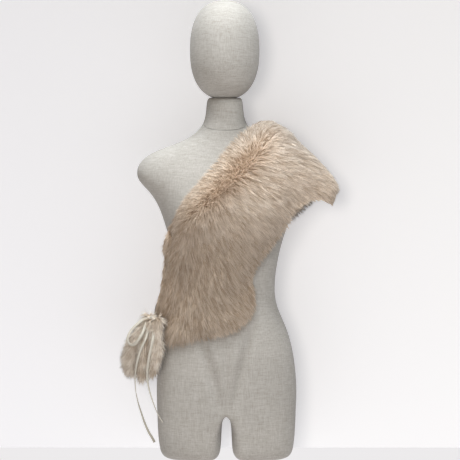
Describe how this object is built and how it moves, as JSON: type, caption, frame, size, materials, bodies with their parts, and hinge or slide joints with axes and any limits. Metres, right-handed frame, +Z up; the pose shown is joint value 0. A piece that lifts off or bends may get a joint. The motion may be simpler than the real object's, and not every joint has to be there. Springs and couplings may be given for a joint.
{
  "type": "fur collar wrap on limbless dress form",
  "caption": "Long-haired pale beige fur collar wrap worn as a sash over one shoulder of a linen dress form, tied at the hip with laces",
  "frame": {"origin": "Middle of the box of the whole object without its laces, at the height of the thigh stubs' flat soles, on which the form stands.", "axes": "+Z is up, from the soles to the crown of the head. -Y is the way the form faces. +X is the form's left, the side of the shoulder that the wrap covers."},
  "size_m": [0.4943, 0.2326, 1.034],
  "materials": {
    "linen": "natural linen weave stretched over a padded form",
    "fur": "long soft beige pile, darker at the roots",
    "roll_fur": "long soft beige pile combed outwards from a parting",
    "lace": "thin flat cream tape"
  },
  "bodies": {
    "root": {"form_head": "linen", "form_neck": "linen", "form_torso": "linen", "wrap_front": "fur", "wrap_shoulder": "fur", "wrap_back": "fur", "roll_front": "roll_fur", "roll_shoulder": "roll_fur", "roll_back": "roll_fur", "end_back": "fur", "end_middle": "fur", "end_front": "fur", "tie_knot": "lace", "tie_loop": "lace", "tie_tail_long": "lace", "tie_tail_short": "lace"}
  },
  "joints": []
}
